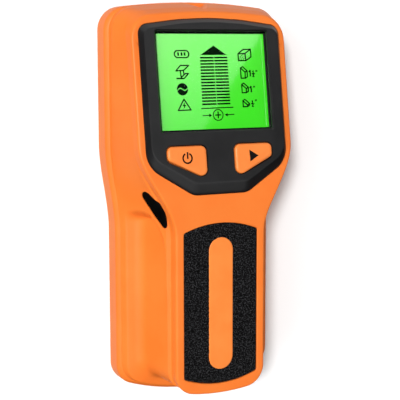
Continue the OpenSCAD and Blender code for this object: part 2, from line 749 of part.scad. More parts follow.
// Straight out through the bay's wall, then in a bow that takes up what the lead is longer than its span
function lead_route(x) =
  let (a = [x, snap_y0 + snap_t, stud_z + 2.5], p = [x, bay_y1 + bay_wall + 1.2, a.z],
       b = on_front_point([x, lead_up, board_low - slip]), d = norm(b - p),
       bow = sign(x) * 2 * sqrt(max(0, lead_l - d) * d) / PI, n = 16)
  concat([a], [for (i = [0 : n]) let (t = i / n, s = min(1, t * 1.15))
    [x + bow * pow(sin(180 * s), 2), p.y + (b.y - p.y) * (0.75 * ease(s) + 0.25 * s),
     a.z + (b.z - a.z) * ease((t - 0.18) / 0.82)]]);
module lead_red() {
  color([0.8, 0.1, 0.1]) lead(lead_route(lead_x), lead_r);
}
module lead_black() {
  color(black) lead(lead_route(-lead_x), lead_r);
}

// ---------- sensors behind the head's back wall ----------

sense_z0 = 3.9;
sense_t = 1.4;
stake_r = 1;
sense_w = 54;
sense_start = 22;     // distance from the bend to the board's lower edge
sense_end = 12;       // distance from the board's upper edge to the head end
sense_y0 = y_bend + sense_start;
sense_y1 = y_top - sense_end;
sense_post_in = 4;
sense_post_x = sense_w / 2 - sense_post_in;
sense_posts = [for (x = [-sense_post_x, sense_post_x])
  for (y = [sense_y0 + sense_post_in, sense_y1 - sense_post_in]) [x, y]];
module sense_board() {
  color(fibre_green) difference() {
    plate(box_outline(-sense_w / 2, sense_w / 2, sense_y0, sense_y1, 1.5), sense_z0, sense_z0 + sense_t);
    for (p = sense_posts) translate([p.x, p.y, 0]) cylinder(r = stake_r + 0.1, h = 2 * rear_h);
  }
}
electrode_t = 0.3;
electrode_w = 9;
electrode_pitch = 13;
electrode_in = 8;     // how far the electrodes stop short of the board's ends
module sense_electrodes() {
  color(copper) for (i = [-1 : 1]) let (x = i * electrode_pitch)
    plate(box_outline(x - electrode_w / 2, x + electrode_w / 2, sense_y0 + electrode_in,
      sense_y1 - electrode_in, 1), sense_z0 - electrode_t, sense_z0);
}

coil_up = 24;         // distance from the board's lower edge to the coil's middle
coil_y = sense_y0 + coil_up;
coil_r = 13;
coil_h = 4.4;
bobbin_r = 9;
module coil_bobbin() {
  color([0.9, 0.9, 0.88]) translate([0, coil_y, sense_z0 + sense_t]) rotate_extrude($fn = 64)
    polygon([[bobbin_r - 1.6, 0], [coil_r + 0.6, 0], [coil_r + 0.6, 0.8], [bobbin_r, 0.8],
      [bobbin_r, coil_h - 0.8], [coil_r + 0.6, coil_h - 0.8], [coil_r + 0.6, coil_h],
      [bobbin_r - 1.6, coil_h]]);
}
module coil_winding() {
  color(copper) translate([0, coil_y, sense_z0 + sense_t]) rotate_extrude($fn = 64)
    polygon([[bobbin_r, 0.8], [coil_r, 0.8], [coil_r, coil_h - 0.8], [bobbin_r, coil_h - 0.8]]);
}

ribbon_w = 12;
ribbon_t = 0.7;
ribbon_in = 3;        // distance from the sensor board's lower edge
module ribbon_cable() {
  low = [sense_y0 + ribbon_in, sense_z0 + sense_t];
  high_point = on_front_point([0, sense_start - ribbon_in - 1, board_low - seat]);
  high = [high_point.y, high_point.z];
  line = [for (i = [0 : 12]) let (t = i / 12)
    [low.x + (high.x - low.x) * ease(t), low.y + (high.y - low.y) * t]];
  color([0.6, 0.6, 0.62]) translate([-ribbon_w / 2, 0, 0]) rotate([90, 0, 90]) linear_extrude(ribbon_w)
    polygon(concat([for (p = line) p - [ribbon_t / 2, 0]], reversed([for (p = line) p + [ribbon_t / 2, 0]])));
}

rear_shell();
front_shell();
display_bezel();
display_window();
lcd_glass();
lcd_frame();
lcd_backlight();
zebra_strip();
main_board();
controller_chip();
storage_capacitor();
buzzer();
power_button();
mode_button();
power_switch_body();
power_switch_plunger();
mode_switch_body();
mode_switch_plunger();
grip_pad();
label_plate();
side_slot_insert_left();
side_slot_insert_right();
sense_board();
sense_electrodes();
coil_bobbin();
coil_winding();
ribbon_cable();
battery_door();
battery_can();
battery_studs();
battery_snap();
lead_red();
lead_black();
case_screws();
board_screws();
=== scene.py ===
import math

import bmesh
import bpy
import numpy as np
from mathutils import Matrix, Vector, noise


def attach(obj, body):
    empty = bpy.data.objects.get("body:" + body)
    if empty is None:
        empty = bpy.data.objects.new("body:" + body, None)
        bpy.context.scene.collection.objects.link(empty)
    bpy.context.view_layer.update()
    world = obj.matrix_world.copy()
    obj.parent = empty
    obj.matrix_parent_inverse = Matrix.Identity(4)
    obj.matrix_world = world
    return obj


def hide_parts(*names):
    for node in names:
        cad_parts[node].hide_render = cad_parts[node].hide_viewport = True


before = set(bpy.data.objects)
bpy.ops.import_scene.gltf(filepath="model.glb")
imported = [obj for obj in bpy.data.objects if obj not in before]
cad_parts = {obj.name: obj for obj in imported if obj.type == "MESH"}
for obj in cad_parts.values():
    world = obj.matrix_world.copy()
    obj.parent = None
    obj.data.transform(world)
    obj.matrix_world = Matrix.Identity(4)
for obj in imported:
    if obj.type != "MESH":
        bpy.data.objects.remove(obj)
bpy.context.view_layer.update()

# Looks of a hand-held wall scanner. Lengths are in millimetres until mesh_object() makes metres of them.

MM = 0.001
Y_TOP, Y_FOOT, Y_BEND = 83.8, -83.8, 3.5
FRONT_H = 36.0
TILT = math.radians(8.65)
SHOULDER_LOW, SHOULDER_HIGH = Y_BEND - 15.2, Y_BEND + 21.8
# rings are level up to LEVEL_BELOW and fall with the head above it; the key at STEP_Z lies STEP_DEPTH below the front
LEVEL_BELOW, STEP_Z, STEP_DEPTH = 13.2, 31.1, 4.9
BUTTON_X, BUTTON_Y = 15.35, 16.6


# ---------- outlines ----------

def ease(t):
    """0 to 1 with a soft start and end."""
    t = min(1.0, max(0.0, t))
    return t * t * (3 - 2 * t)


def top_z(y, soft=4.0):
    """Height of the front, with a soft bend where the head starts to fall."""
    d = y - Y_BEND
    fall = 0 if d < -soft else d if d > soft else (d + soft) ** 2 / (4 * soft)
    return FRONT_H - math.tan(TILT) * fall


def half_width(handle, head, y):
    """The body's half width at y, from the handle's over the shoulder to the head's."""
    return handle + (head - handle) * ease((y - SHOULDER_LOW) / (SHOULDER_HIGH - SHOULDER_LOW))


def corner(a, b, c, r, steps):
    """Points of the arc with radius r that rounds the corner at b."""
    a, b, c = (np.array(p[:2], float) for p in (a, b, c))
    u, v = (a - b) / np.linalg.norm(a - b), (c - b) / np.linalg.norm(c - b)
    half = math.acos(max(-1.0, min(1.0, float(u @ v)))) / 2
    bis = (u + v) / np.linalg.norm(u + v)
    centre = b + bis * r / math.sin(half)
    p, q = b + u * r / math.tan(half) - centre, b + v * r / math.tan(half) - centre
    start = math.atan2(p[1], p[0])
    turn = math.atan2(p[0] * q[1] - p[1] * q[0], float(p @ q))
    return [centre + r * np.array([math.cos(start + turn * i / steps), math.sin(start + turn * i / steps)])
            for i in range(steps + 1)]


def rounded(corners, steps=10):
    """Outline through (x, y, radius) corners."""
    n = len(corners)
    out = []
    for i in range(n):
        out += corner(corners[i - 1], corners[i], corners[(i + 1) % n], corners[i][2], steps)
    return [(float(p[0]), float(p[1])) for p in out]


def box_outline(x0, x1, y0, y1, r, steps=8):
    return rounded([(x0, y0, r), (x1, y0, r), (x1, y1, r), (x0, y1, r)], steps)


def bezel_outline(grow=0.0, steps=12):
    h, low, high = 32.2 + grow, 1.8 - grow, 74.3 + grow
    return rounded([(-h, high - 3, 4.5), (-h + 18, high - 0.7, 60), (0, high, 100), (h - 18, high - 0.7, 60),
                    (h, high - 3, 4.5), (h, low + 12.5, 11), (12.5, low, 8), (-12.5, low, 8),
                    (-h, low + 12.5, 11)], steps)


def bezel_face_outline(grow=0.0, steps=12):
    h, low, high = 30.6 + grow, 6.5 - grow, 72.3 + grow
    return rounded([(-h, high - 3, 3.6 + grow), (-h + 17, high - 0.7, 60), (0, high, 100),
                    (h - 17, high - 0.7, 60), (h, high - 3, 3.6 + grow), (h, low + 11.1, 9), (11.9, low, 7),
                    (-11.9, low, 7), (-h, low + 11.1, 9)], steps)


def button_outline(grow=0.0, side=1, steps=12):
    """The right-hand button's outline, or its mirror image for side -1."""
    x0, x1, t = 6.6 - grow, 23.9 + grow, 21.8 + grow
    pts = rounded([(x0, t, 2.4 + grow), (x0, t - 13.7 - 2 * grow, 2.6 + grow),
                   (x1, t - 5.4 - 2 * grow, 2.2 + grow), (x1, t, 2.2 + grow)], steps)
    return pts if side > 0 else [(-x, y) for x, y in reversed(pts)]


def disc(r, n=32):
    return [(r * math.cos(2 * math.pi * i / n), r * math.sin(2 * math.pi * i / n)) for i in range(n)]


# ---------- meshes ----------

def on_front(x, v, w):
    """A point of the inclined front's own frame, in the body's frame."""
    return (x, Y_BEND + v * math.cos(TILT) + w * math.sin(TILT),
            FRONT_H - v * math.sin(TILT) + w * math.cos(TILT))


def flat(x, y, z):
    return (x, y, z)


def linked(name, mesh):
    obj = bpy.data.objects.new(name, mesh)
    bpy.context.scene.collection.objects.link(obj)
    return obj


def mesh_object(name, verts, faces, angle=32.0):
    mesh = bpy.data.meshes.new(name)
    mesh.from_pydata([(x * MM, y * MM, z * MM) for x, y, z in verts], [], faces)
    bm = bmesh.new()
    bm.from_mesh(mesh)
    bmesh.ops.recalc_face_normals(bm, faces=bm.faces)
    bm.to_mesh(mesh)
    bm.free()
    obj = linked(name, mesh)
    shade(obj, angle)
    return obj


def shade(obj, angle=32.0):
    """Smooth shading, with sharp edges above the angle."""
    obj.data.polygons.foreach_set("use_smooth", [True] * len(obj.data.polygons))
    obj.data.set_sharp_from_angle(angle=math.radians(angle))
    obj.data.update()


def rings_mesh(rings, place=flat, close=True):
    """Vertices and faces of a tube through rings of equal count, with a flat face at both ends if close."""
    n = len(rings[0])
    verts = [place(*p) for r in rings for p in r]
    faces = [(j * n + i, j * n + (i + 1) % n, (j + 1) * n + (i + 1) % n, (j + 1) * n + i)
             for j in range(len(rings) - 1) for i in range(n)]
    if close:
        faces += [tuple(range(n)), tuple(range((len(rings) - 1) * n, len(rings) * n))]
    return verts, faces


def stack(name, profile, outline, place=flat):
    """A solid from (grow, height) pairs, with outline(grow) at each height."""
    rings = [[(x, y, h) for x, y in outline(g)] for g, h in profile]
    return mesh_object(name, *rings_mesh(rings, place))


def prism(name, outline, low, high, place=flat):
    return stack(name, [(0, low), (0, high)], lambda g: outline, place)


def boolean(obj, tool, operation="DIFFERENCE"):
    """Applies the tool to the object's mesh and removes the tool."""
    mod = obj.modifiers.new("cut", "BOOLEAN")
    mod.operation, mod.solver, mod.object = operation, "EXACT", tool
    graph = bpy.context.evaluated_depsgraph_get()
    mesh = bpy.data.meshes.new_from_object(obj.evaluated_get(graph))
    obj.modifiers.remove(mod)
    old = obj.data
    obj.data = mesh
    bpy.data.meshes.remove(old)
    bpy.data.objects.remove(tool)


RING_SPACING = 0.32  # between the rings of a long straight stretch
MOST_OF_SPAN = 0.48  # the share of a stretch that one rounded corner may take


def blend_corners(keys, radii, steps):
    """Weights on the keys that follow their polyline with each corner rounded.

    Lengths are read from columns 0 and 4.
    """
    keys = np.array(keys, float)
    n = len(keys)
    span = [np.linalg.norm(keys[i + 1][[0, 4]] - keys[i][[0, 4]]) for i in range(n - 1)]
    rows = []

    def at(i, t):
        row = np.zeros(n)
        row[i], row[i + 1] = 1 - t, t
        return row
    for i in range(n):
        if i in (0, n - 1) or radii[i] <= 0:
            row = np.zeros(n)
            row[i] = 1
            rows.append(row)
        else:
            before = at(i - 1, 1 - min(MOST_OF_SPAN, radii[i] / span[i - 1]))
            after = at(i, min(MOST_OF_SPAN, radii[i] / span[i]))
            mid = np.zeros(n)
            mid[i] = 1
            for k in range(steps + 1):
                t = k / steps
                rows.append((1 - t) ** 2 * before + 2 * t * (1 - t) * mid + t * t * after)
        if i < n - 1 and span[i] > 3:
            start = 0 if i == 0 or radii[i] <= 0 else min(MOST_OF_SPAN, radii[i] / span[i])
            end = 1 if i == n - 2 or radii[i + 1] <= 0 else 1 - min(MOST_OF_SPAN, radii[i + 1] / span[i])
            count = max(2, int(span[i] * (end - start) / RING_SPACING))
            rows += [at(i, start + (end - start) * k / count) for k in range(1, count)]
    return np.array(rows)


# ---------- the two shells ----------

# where the rings have points along the side, close together over the shoulder and the end of the ledge
SIDE_Y = ([66.5, 62, 57, 52, 47, 42, 37, 33, 30] + [28 - 0.9 * i for i in range(72)]
          + [-40, -44, -48, -52, -56, -59.8])


def arched_end(h, big, small, count, corner_steps=12):
    """Half an arched end, from its crown to the side, as (x, drop below the crown)."""
    cx = h - small
    cy = math.sqrt((big - small) ** 2 - cx * cx)
    lean = math.atan2(cy, cx)
    touch = big * math.cos(lean)
    pts = []
    for i in range(count + 1):
        t = i / count
        x = touch * (0.35 * t + 0.65 * t * t)
        pts.append((x, big - math.sqrt(big * big - x * x)))
    for i in range(1, corner_steps + 1):
        a = lean * (1 - i / corner_steps)
        pts.append((cx + small * math.cos(a), big - cy - small * math.sin(a)))
    return pts


def half_ring(key):
    """Right half of one ring, from the crown to the foot.

    key = handle half, head half, inset at the head end, inset at the foot, height
    """
    handle, head, crown, foot = key[:4]
    pts = [(x, Y_TOP - crown - drop) for x, drop in arched_end(head, 260, 10, 18)]
    pts += [(half_width(handle, head, y), y) for y in SIDE_Y]
    foot_half = half_width(handle, head, SIDE_Y[-1])
    pts += [(x, Y_FOOT + foot + drop) for x, drop in reversed(arched_end(foot_half, 90, 9, 14))]
    return pts


def key_z(z, y):
    """Height of a key above the back: above LEVEL_BELOW it falls with the head."""
    if z <= LEVEL_BELOW:
        return z
    if z <= STEP_Z:
        share = (z - LEVEL_BELOW) / (STEP_Z - LEVEL_BELOW)
        return LEVEL_BELOW + share * (top_z(y) - STEP_DEPTH - LEVEL_BELOW)
    return top_z(y) - (FRONT_H - z)


def body_mesh(name, halves):
    """A closed solid from right-hand half rings of (x, y, z), mirrored to the left."""
    m = len(halves[0])
    n = 2 * m - 2
    rings = [h + [(-x, y, z) for x, y, z in reversed(h[1:-1])] for h in halves]
    verts, faces = rings_mesh(rings, close=False)
    for base in (0, (len(rings) - 1) * n):
        faces.append((base, base + 1, base + n - 1))
        faces += [(base + i, base + i + 1, base + n - i - 1, base + n - i) for i in range(1, m - 2)]
        faces.append((base + m - 2, base + m - 1, base + m))
    return mesh_object(name, verts, faces)


def plain_halves(keys, z_of=lambda z, y: z):
    """Half rings of the body without the finger ledges."""
    return [[(x, y, z_of(k[4], y)) for x, y in half_ring(k)] for k in keys]


LEDGE_END = Y_BEND - 6.3


def ledge_end(z):
    """Upper end of the finger ledge at a height: an arch, from (height, distance from LEDGE_END) marks."""
    marks = [(11.0, -4.8), (13.0, -3.0), (15.2, -1.6), (19.0, -0.9), (22.5, -1.0), (24.6, -1.9), (26.4, -4.4),
             (28.2, -8.2), (29.7, -13.0), (30.5, -19.0), (30.85, -26.0), (31.1, -34.0)]
    return LEDGE_END + float(np.interp(z, [m[0] for m in marks], [m[1] for m in marks]))


# keys of the front shell's skin beside the ledges and through them, from the parting line to the front
PLAIN = [(34.7, 38.7, 0.5, 1.7, 10.6), (33.14, 38.3, 0.74, 1.88, 13.3), (32.05, 38.03, 0.9, 2.0, 15.2),
         (22.72, 35.73, 2.28, 5.56, 30.9), (22.6, 35.7, 2.3, 5.6, 31.1), (21.05, 35.6, 2.5, 5.4, 31.65),
         (20.6, 35.1, 4.4, 4.2, 36.0), (17.9, 32.6, 6.9, 6.7, 36.0)]
LEDGE = [PLAIN[0], PLAIN[1], (27.2, 27.2, 0.9, 7.2, 15.2), (22.1, 22.1, 2.28, 6.0, 30.9)] + PLAIN[4:]
weights = blend_corners(LEDGE, [0, 0.7, 3.6, 0.12, 0.45, 0.3, 1.15, 0], 7)
halves = []
for row in weights:
    plain, ledge = row @ np.array(PLAIN), row @ np.array(LEDGE)
    ring = []
    for (px, py), (lx, ly) in zip(half_ring(plain), half_ring(ledge)):
        width = 4.2 + 1.6 * ease((plain[4] - 26) / 4)
        share = ease((ledge_end(plain[4]) - py) / width + 0.5) if 10.6 < plain[4] < 31.2 else 0.0
        y = py + (ly - py) * share
        ring.append((px + (lx - px) * share, y, key_z(plain[4], y)))
    halves.append(ring)
front = body_mesh("front_shell_skin", halves)
uncut = front.data.copy()

cavity = body_mesh("cavity", plain_halves([(24.8, 36.3, 5.7, 9.6, 9.0), (24.8, 36.3, 5.7, 9.6, 15.2),
                                           (20.1, 33.4, 5.9, 8.0, 29.2), (18.3, 32.8, 6.1, 8.0, 32.2)], key_z))
boolean(front, cavity)
boolean(front, prism("pocket", bezel_outline(0.15), -1.8, 6, on_front))
boolean(front, prism("opening", box_outline(-28.2, 28.2, 23.5, 71.4, 1), -9, 0, on_front))


PAD_LOW, PAD_HIGH, PAD_HALF = -75.2, -6.8, 17.1
PAD_ARCH, PAD_CORNER = 44.0, 1.2  # radii of its arched ends and of its corners


def pad_end(grow):
    """Half width, corner radius and corner centre (x, distance below the arch's centre) of the pad's arched end."""
    half, c = PAD_HALF + grow, PAD_CORNER + grow
    cx = half - c
    return half, c, cx, math.sqrt((PAD_ARCH - c) ** 2 - cx * cx)


def pad_edge(grow, steps=24):
    """Outline of the grip pad's recess, as a list of points."""
    _, c, cx, cy = pad_end(grow)
    lean = math.atan2(cy, cx)
    sweep = [(math.pi / 2 - lean) * i / steps for i in range(steps + 1)]
    end = [(PAD_ARCH * math.sin(a), PAD_ARCH * (1 - math.cos(a))) for a in sweep]
    turn = [lean * (1 - i / 8) for i in range(1, 9)]
    end += [(cx + c * math.cos(a), PAD_ARCH - cy - c * math.sin(a)) for a in turn]
    right = [(x, PAD_HIGH + grow - d) for x, d in end] + [(x, PAD_LOW - grow + d) for x, d in reversed(end)]
    return right + [(-x, y) for x, y in reversed(right[1:-1])]


boolean(front, stack("recess", [(0, 34.75), (0, 35.75), (0.35, 36.1), (1.0, 37)], pad_edge))


def side_x(y, z):
    """Half width of the body's flank at a point of the shoulder."""
    handle = 34.7 - 12.1 * (z - 10.6) / 21
    head = 38.7 - 2.9 * (z - 10.6) / 17.4
    return half_width(handle, head, y)


# y above the bend, z, offset from the flank, radius
SLOT = [(0.9, 27.2, 0.4, 2.6), (-2.7, 29.3, 0.15, 3.1), (-5.8, 29.85, 0.0, 3.0), (-10.6, 30.6, -0.2, 1.3)]
SLOT_IN = Vector((0.8, 0.3, -0.5)).normalized()


def slot_bar(name, out, depth, grow, side):
    """The slot's cutting tool: a hull of four discs, pushed along the way into the slot."""
    bm = bmesh.new()
    turn = SLOT_IN.to_track_quat("Z", "Y")
    for up, z, off, r in SLOT:
        y = Y_BEND + up
        place = Vector((-side_x(y, z) - off, y, z))
        for along in (-out, depth):
            for x, v in disc(r + grow, 40):
                p = place + SLOT_IN * along + turn @ Vector((x, v, 0))
                bm.verts.new(Vector((p.x * side, p.y, p.z)) * MM)
    hull = bmesh.ops.convex_hull(bm, input=bm.verts)
    bmesh.ops.delete(bm, geom=list(set(hull["geom_interior"] + hull["geom_unused"])), context="VERTS")
    bmesh.ops.recalc_face_normals(bm, faces=bm.faces)
    mesh = bpy.data.meshes.new(name)
    bm.to_mesh(mesh)
    bm.free()
    return linked(name, mesh)


# each insert is a plug of the uncut body, sunk a little along the way into its slot
SLOT_SINK = 0.35
inserts = {}
for name, side in (("side_slot_insert_left", 1), ("side_slot_insert_right", -1)):
    boolean(front, slot_bar("slot", 5, 3.6, 0.0, side))
    insert = linked(name + "_skin", uncut.copy())
    insert.data.transform(Matrix.Translation(Vector((SLOT_IN.x * side, SLOT_IN.y, SLOT_IN.z)) * SLOT_SINK * MM))
    boolean(insert, slot_bar("slot_fill", 5, 3.4, -0.07, side), "INTERSECT")
    shade(insert, 30)
    inserts[name] = insert

boolean(front, prism("notch", rounded([(-12, Y_TOP + 6, 1), (-12, Y_TOP + 0.3, 0.5), (-6, Y_TOP + 0.1, 3),
                                       (0, Y_TOP - 3.3, 2.2), (6, Y_TOP + 0.1, 3), (12, Y_TOP + 0.3, 0.5),
                                       (12, Y_TOP + 6, 1)]), 9.6, 36))
shade(front, 30)

# the back half: its own keys, the battery bay with its windows, and the screw holes
REAR = [(33.0, 37.0, 3.4, 3.4, 0.0), (35.2, 39.2, 1.2, 1.2, 0.0), (36.4, 40.4, 0, 0, 1.2), (36.4, 40.4, 0, 0, 9.2),
        (35.0, 39.0, 0.4, 1.4, 10.6), (33.6, 37.6, 1.8, 2.8, 10.6)]
rear_keys = blend_corners(REAR, [0, 0.5, 0.8, 0.9, 0.5, 0], 5) @ np.array(REAR)
rear = body_mesh("rear_shell_skin", plain_halves(rear_keys))
boolean(rear, body_mesh("rear_cavity", plain_halves([(32.3, 36.3, 5.7, 5.0, 2.2), (32.3, 36.3, 5.7, 5.0, 12.0)])))
boolean(rear, prism("bay_walls", box_outline(-14.8, 14.8, -72.72, -10.82, 1.4), 1.6, 21.5), "UNION")
boolean(rear, prism("bay", box_outline(-13.6, 13.6, -71.52, -12.02, 0.8), -1, 20.3))
for x in (-7, 7):
    boolean(rear, prism("tab_window", box_outline(x - 2.75, x + 2.75, -73.8, -70.5, 0.3), 2.22, 4.82))
boolean(rear, prism("lead_window", box_outline(-5, 5, -13, -10, 0.3), 11.6, 16.6))
SCREWS = [(-32.0, 68.3), (32.0, 68.3), (-26.6, 11.3), (26.6, 11.3), (-18.05, -66.8), (18.05, -66.8)]
for sx, sy in SCREWS:
    boolean(rear, stack("screw_hole", [(3.3, -1), (3.3, 0), (2.95, 0.35), (2.9, 2.15)],
                        lambda r: [(sx + x, sy + y) for x, y in disc(r)]))
shade(rear, 30)

# ---------- bezel, buttons, pad, label ----------

# openings for the button stems in the wall below the bezel
for cx in (-BUTTON_X, BUTTON_X):
    boolean(front, prism("stem_hole", [(cx + x, BUTTON_Y + y) for x, y in disc(2.6)], -9, -1.5, on_front))


def between(a, b, t):
    return [(p[0] + (q[0] - p[0]) * t, p[1] + (q[1] - p[1]) * t) for p, q in zip(a, b)]


outer, face = bezel_outline(), bezel_face_outline()
rings = [(outer, -1.8), (outer, -0.8), (outer, -0.1), (between(outer, face, 0.02), 0.12),
         (between(outer, face, 0.07), 0.3)]
rings += [(between(outer, face, t), 0.2 + 2.0 * t) for t in (0.2, 0.4, 0.6, 0.8, 0.9)]
rings += [(between(outer, face, 0.96), 2.1), (face, 2.17), (bezel_face_outline(-0.25), 2.2),
          (bezel_face_outline(-1.2), 2.2)]
bezel = mesh_object("display_bezel_skin", *rings_mesh([[(x, y, w) for x, y in r] for r, w in rings], on_front))
boolean(bezel, stack("screen_cut", [(0, -3), (0, 1.5), (0.75, 2.25), (1.2, 2.7)],
                     lambda g: box_outline(-25.4 - g, 25.4 + g, 27.9 - g, 68.6 + g, 0.6 + g), on_front))
boolean(bezel, prism("window_cut", box_outline(-27.55, 27.55, 25.75, 70.75, 1), -3, 1.0, on_front))
for side in (1, -1):
    boolean(bezel, stack("button_cut", [(0.25, -3), (0.25, 1.5), (0.42, 1.95), (0.62, 2.21), (0.8, 2.5)],
                         lambda g, s=side: button_outline(g, s), on_front))
    boolean(bezel, prism("collar_cut", button_outline(1.35, side), -3, 0.75, on_front))
shade(bezel, 30)

caps = {}
for name, side in (("mode_button", 1), ("power_button", -1)):
    cap = stack(name + "_cap", [(1.1, -0.6), (1.1, 0.5), (0, 0.5), (0, 2.1), (-0.06, 2.36), (-0.24, 2.6),
                                (-0.52, 2.77), (-0.95, 2.87), (-1.5, 2.9)],
                lambda g, s=side: button_outline(g, s), on_front)
    stem = [(side * BUTTON_X + x, BUTTON_Y + y) for x, y in disc(2.3)]
    boolean(cap, prism("stem", stem, -3.6, -0.3, on_front), "UNION")
    shade(cap, 30)
    caps[name] = cap


END_SHARE = 0.55  # how far a stroke runs past its points, in half widths, so that strokes join


def strokes(name, lines, w0, w1, areas=()):
    """Flat symbol from strokes (points, width) and filled areas (points), in the front's frame."""
    verts, faces = [], []

    def add(outline):
        b, n = len(verts), len(outline)
        verts.extend([on_front(x, v, w0) for x, v in outline] + [on_front(x, v, w1) for x, v in outline])
        faces.append(tuple(range(b, b + n)))
        faces.append(tuple(range(b + 2 * n - 1, b + n - 1, -1)))
        faces.extend((b + i, b + (i + 1) % n, b + n + (i + 1) % n, b + n + i) for i in range(n))
    for pts, width in lines:
        for p, q in zip(pts, pts[1:]):
            d = math.hypot(q[0] - p[0], q[1] - p[1])
            ux, uy = (q[0] - p[0]) / d * width / 2, (q[1] - p[1]) / d * width / 2
            ex, ey = ux * END_SHARE, uy * END_SHARE
            add([(p[0] - ex - uy, p[1] - ey + ux), (q[0] + ex - uy, q[1] + ey + ux),
                 (q[0] + ex + uy, q[1] + ey - ux), (p[0] - ex + uy, p[1] - ey - ux)])
    for pts in areas:
        add(pts)
    return mesh_object(name, verts, faces, 20)


def arc(x, v, r, a0, a1, n=20):
    angles = [math.radians(a0 + (a1 - a0) * i / n) for i in range(n + 1)]
    return [(x + r * math.cos(a), v + r * math.sin(a)) for a in angles]


# printed on the caps
PRINT_LOW, PRINT_HIGH = 2.88, 2.925
power = strokes("power_symbol", [(arc(-15.5, 16.95, 2.0, 122, 418, 28), 0.66),
                                 ([(-15.35, 19.3), (-15.42, 16.9)], 0.68)], PRINT_LOW, PRINT_HIGH)
play = strokes("mode_symbol", [], PRINT_LOW, PRINT_HIGH,
               areas=[[(12.95, 19.2), (13.15, 14.35), (17.2, 16.7)]])

# radius and end centres of the label's capsule
LABEL_R = 5.55
LABEL_LOW, LABEL_HIGH = -69.1 + LABEL_R, -12.9 - LABEL_R


def grain(x, y):
    """Height of the pad's leather-like grain: furrows between irregular cells, and a little fine noise."""
    p = Vector((x * 0.7, y * 0.7, 0.0))
    d = noise.voronoi(p, distance_metric="DISTANCE")[0]
    cell = min(1.0, (d[1] - d[0]) * 3.2)
    fine = noise.noise(Vector((x * 2.6, y * 2.6, 3.0)))
    return -0.24 * (1 - cell) ** 2 + 0.05 * fine


def pad_drop(x, grow):
    """How far the pad's arched end has dropped from its crown at x."""
    half, c, cx, cy = pad_end(grow)
    x = min(abs(x), half)
    if x <= PAD_ARCH * math.cos(math.atan2(cy, cx)):
        return PAD_ARCH - math.sqrt(PAD_ARCH * PAD_ARCH - x * x)
    return PAD_ARCH - cy - math.sqrt(max(0.0, c * c - (x - cx) ** 2))


# grip pad: a fine grid whose surface carries the grain, sunk below the label
PAD_GAP = 0.15
PAD_BASE, PAD_TOP, PAD_UNDER_LABEL = 34.75, 35.75, 35.1
PAD_RIM, PAD_RIM_WIDTH = 0.45, 0.55
EDGE_STEPS = (0, 0.06, 0.25, 0.6)
pad_w, nx, ny = PAD_HALF - PAD_GAP, 100, 190
pv, pf = [], []
for i in range(nx + 1):
    x = -pad_w + 2 * pad_w * i / nx
    k = min(i, nx - i)
    if k < len(EDGE_STEPS):
        x = math.copysign(pad_w - EDGE_STEPS[k], x)
    drop = pad_drop(x, -PAD_GAP)
    lo, hi = PAD_LOW + PAD_GAP + drop, PAD_HIGH - PAD_GAP - drop
    for j in range(ny + 1):
        y = lo + (hi - lo) * j / ny
        if j < len(EDGE_STEPS):
            y = lo + EDGE_STEPS[j]
        elif ny - j < len(EDGE_STEPS):
            y = hi - EDGE_STEPS[ny - j]
        d = max(0.0, min(pad_w - abs(x), y - lo, hi - y))
        rim = PAD_RIM * (1 - math.sqrt(max(0.0, 1 - (1 - min(1.0, d / PAD_RIM_WIDTH)) ** 2)))
        inside = LABEL_R - math.hypot(x, y - max(LABEL_LOW, min(LABEL_HIGH, y)))
        z = PAD_TOP - rim + grain(x, y) * min(1.0, d / 0.5)
        pv.append((x, y, PAD_UNDER_LABEL if inside > 0.25 else z))
for i in range(nx):
    for j in range(ny):
        a = i * (ny + 1) + j
        pf.append((a, a + ny + 1, a + ny + 2, a + 1))
border = [i * (ny + 1) for i in range(nx + 1)] + [nx * (ny + 1) + j for j in range(1, ny + 1)]
border += [i * (ny + 1) + ny for i in range(nx - 1, -1, -1)] + list(range(ny - 1, 0, -1))
base, n = len(pv), len(border)
pv += [(pv[b][0], pv[b][1], PAD_BASE) for b in border]
pf += [(border[k], base + k, base + (k + 1) % n, border[(k + 1) % n]) for k in range(n)]
pf.append(tuple(base + k for k in range(n)))
pad = mesh_object("grip_pad_skin", pv, pf, 50)


def capsule(grow):
    r = LABEL_R + grow
    return arc(0, LABEL_HIGH, r, 0, 180, 40) + arc(0, LABEL_LOW, r, 180, 360, 40)


label = stack("label_plate_skin", [(0, 34.95), (0, 35.62), (-0.06, 35.74), (-0.2, 35.82), (-0.5, 35.85),
                                   (-1.2, 35.85)], capsule)

# ---------- display symbols ----------

W0, W1 = -0.99, -0.94  # just above the display's surface
LINE = 0.5  # width of most of the symbols' strokes


def move(pts, x, v):
    return [(x + p[0], v + p[1]) for p in pts]


arrow = [[(1.51, 63.05), (-4.7, 59.2), (7.35, 59.15)]]
bars = []
for i in range(16):
    t = i / 15
    v = 58.05 - (58.05 - 38.9) * t
    x0, x1, xm = -4.75 - 0.4 * t, 7.4 + 0.05 * t, 1.4 - 0.05 * t
    bars += [([(x0, v), (xm - 0.35, v + 0.02)], 0.66), ([(xm + 0.35, v + 0.02), (x1, v + 0.05)], 0.66)]
bars.append(([(-5.8, 37.2), (8.8, 37.35)], 0.42))
level = strokes("display_level_bars", bars, W0, W1, areas=arrow)
tx, tv = 1.62, 34.35
target = strokes("display_target", [(arc(tx, tv, 2.25, 0, 360, 32), 0.36), ([(tx - 1.2, tv), (tx + 1.2, tv)], 0.5),
                                    ([(tx, tv - 1.25), (tx, tv + 1.25)], 0.5), ([(-5.4, 34.25), (-2.2, 34.25)], 0.36),
                                    ([(9.0, 34.4), (5.7, 34.35)], 0.36)], W0, W1,
                 areas=[[(-1.2, 34.25), (-2.5, 34.95), (-2.5, 33.55)], [(4.7, 34.35), (6.0, 35.05), (6.0, 33.65)]])
